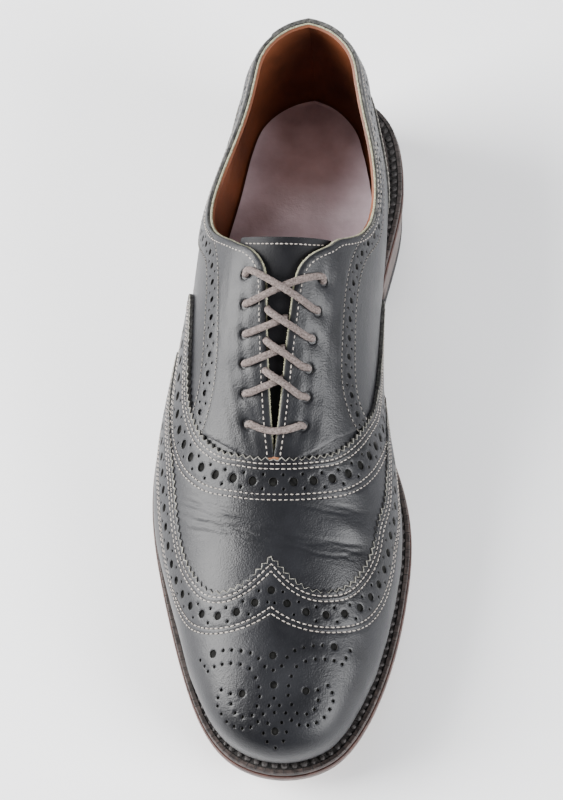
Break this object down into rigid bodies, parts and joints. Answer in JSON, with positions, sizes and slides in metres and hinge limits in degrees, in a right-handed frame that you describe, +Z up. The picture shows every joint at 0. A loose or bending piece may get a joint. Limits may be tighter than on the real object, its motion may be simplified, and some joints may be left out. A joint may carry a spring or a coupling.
{
  "type": "wingtip shoe",
  "caption": "Black leather lace-up dress shoe with a pointed wing cap, gimped and punched overlays, a stitched welt and a stacked heel.",
  "frame": {"origin": "on the floor under the middle of the shoe's length and width", "axes": "+Z up, +Y to the heel, +X to the arch side"},
  "size_m": [0.1088, 0.31, 0.1072],
  "materials": {
    "outsole": "dark brown edge, waxed",
    "welt": "rough black with stitch imprints",
    "heel_stack": "dark stained stacked lifts",
    "top_lift": "matt black",
    "insole": "maroon, worn with a grey sheen",
    "upper": "black, soft sheen",
    "wing_cap": "black, polished",
    "vamp": "black, soft sheen, creased",
    "facing_lateral": "black, soft sheen",
    "facing_medial": "black, soft sheen",
    "heel_counter": "black, soft sheen",
    "back_strap": "black, soft sheen",
    "tongue": "black, soft sheen",
    "lace_bar": "woven round cord, taupe",
    "lace_crossing_1": "woven round cord, taupe",
    "lace_crossing_2": "woven round cord, taupe",
    "lace_crossing_3": "woven round cord, taupe",
    "lace_crossing_4": "woven round cord, taupe"
  },
  "bodies": {
    "root": {"outsole": "outsole", "welt": "welt", "heel_stack": "heel_stack", "top_lift": "top_lift", "insole": "insole", "upper": "upper", "wing_cap": "wing_cap", "vamp": "vamp", "facing_lateral": "facing_lateral", "facing_medial": "facing_medial", "heel_counter": "heel_counter", "back_strap": "back_strap", "tongue": "tongue", "lace_bar": "lace_bar", "lace_crossing_1": "lace_crossing_1", "lace_crossing_2": "lace_crossing_2", "lace_crossing_3": "lace_crossing_3", "lace_crossing_4": "lace_crossing_4"}
  },
  "joints": []
}
